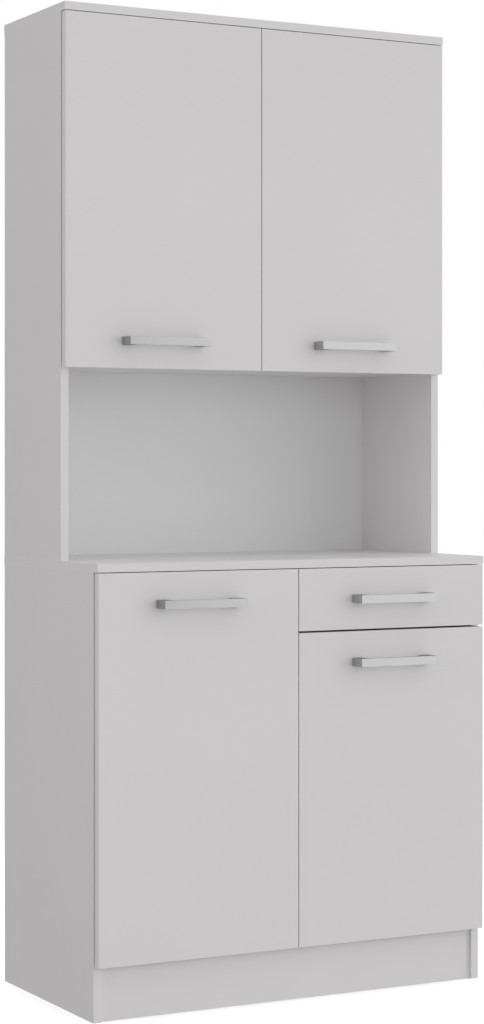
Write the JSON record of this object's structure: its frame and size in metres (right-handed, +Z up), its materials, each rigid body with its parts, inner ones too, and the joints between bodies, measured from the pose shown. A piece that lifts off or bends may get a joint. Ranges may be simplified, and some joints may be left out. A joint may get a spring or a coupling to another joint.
{
  "type": "kitchen buffet cabinet",
  "caption": "Tall white kitchen buffet: lower cupboard with doors and a drawer under a worktop, an open niche, and a shallower upper cupboard, with flat bar handles.",
  "frame": {"origin": "bottom centre of the bounding box, on the floor, halfway between the wall and the lower handles' faces", "axes": "+Z up, fronts face -Y, back to the wall at +Y, X across the width"},
  "size_m": [0.8, 0.453, 1.8],
  "materials": {
    "white_board": "smooth matt white melamine on chipboard",
    "hardboard": "white-faced thin fibreboard",
    "raw_wood": "bare beech",
    "handle_metal": "satin chrome plate",
    "steel": "bright nickel or zinc plate",
    "zinc": "die-cast zinc, unpolished",
    "white_steel": "white epoxy paint",
    "nylon": "natural nylon",
    "clear_rubber": "clear soft dots"
  },
  "bodies": {
    "cabinet": {"lower_left_side": "white_board", "lower_right_side": "white_board", "lower_bottom": "white_board", "lower_divider": "white_board", "plinth": "white_board", "worktop": "white_board", "lower_back": "hardboard", "lower_left_shelf": "white_board", "lower_right_shelf": "white_board", "upper_left_side": "white_board", "upper_right_side": "white_board", "upper_bottom": "white_board", "top_panel": "white_board", "upper_back": "hardboard", "upper_shelf": "white_board", "cam_locks": "zinc", "cam_bolts": "steel", "dowels": "raw_wood", "back_nails": "steel", "shelf_pins": "nylon", "hinge_plates": "steel", "plate_screws": "steel", "hinge_arms": "steel", "hinge_pins": "steel", "door_bumpers": "clear_rubber", "left_rail": "white_steel", "right_rail": "white_steel", "rail_screws": "steel", "wall_brackets": "steel", "bracket_screws": "steel"},
    "front_roller_pair": {"front_rollers": "nylon"},
    "drawer": {"drawer_front": "white_board", "drawer_left_side": "white_board", "drawer_right_side": "white_board", "drawer_back": "white_board", "drawer_bottom": "hardboard", "left_runner": "white_steel", "right_runner": "white_steel", "runner_screws": "steel", "box_screws": "steel", "box_dowels": "raw_wood", "drawer_handle": "handle_metal", "drawer_handle_screws": "steel"},
    "rear_roller_pair": {"rear_rollers": "nylon"},
    "upper_left_leaf": {"upper_left_door": "white_board", "upper_left_cups": "steel", "upper_left_handle": "handle_metal", "upper_left_handle_screws": "steel"},
    "upper_right_leaf": {"upper_right_door": "white_board", "upper_right_cups": "steel", "upper_right_handle": "handle_metal", "upper_right_handle_screws": "steel"},
    "lower_left_leaf": {"lower_left_door": "white_board", "lower_left_cups": "steel", "lower_left_handle": "handle_metal", "lower_left_handle_screws": "steel"},
    "lower_right_leaf": {"lower_right_door": "white_board", "lower_right_cups": "steel", "lower_right_handle": "handle_metal", "lower_right_handle_screws": "steel"}
  },
  "joints": [
    {"name": "upper_left_door_swing", "type": "hinge", "parent": "cabinet", "child": "upper_left_leaf", "pos_m": [-0.392, -0.0455, 0.9], "axis": [0, 0, -1], "range_deg": [0, 105]},
    {"name": "upper_right_door_swing", "type": "hinge", "parent": "cabinet", "child": "upper_right_leaf", "pos_m": [0.392, -0.0455, 0.9], "axis": [0, 0, 1], "range_deg": [0, 105]},
    {"name": "lower_left_door_swing", "type": "hinge", "parent": "cabinet", "child": "lower_left_leaf", "pos_m": [-0.392, -0.1855, 0.4], "axis": [0, 0, -1], "range_deg": [0, 105]},
    {"name": "lower_right_door_swing", "type": "hinge", "parent": "cabinet", "child": "lower_right_leaf", "pos_m": [0.392, -0.1855, 0.4], "axis": [0, 0, 1], "range_deg": [0, 105]},
    {"name": "drawer_slide", "type": "slide", "parent": "cabinet", "child": "drawer", "axis": [0, -1, 0], "range_m": [0, 0.26]},
    {"name": "front_roller_turn", "type": "hinge", "parent": "cabinet", "child": "front_roller_pair", "pos_m": [0.19625, -0.1595, 0.7015], "axis": [1, 0, 0], "range_deg": [0, 1500]},
    {"name": "rear_roller_turn", "type": "hinge", "parent": "drawer", "child": "rear_roller_pair", "pos_m": [0.19625, 0.1605, 0.6998], "axis": [1, 0, 0], "range_deg": [0, 1500]}
  ],
  "couplings": [
    {"joint": "front_roller_turn", "follows": "drawer_slide", "rad_per_m": 100},
    {"joint": "rear_roller_turn", "follows": "drawer_slide", "rad_per_m": 100}
  ]
}
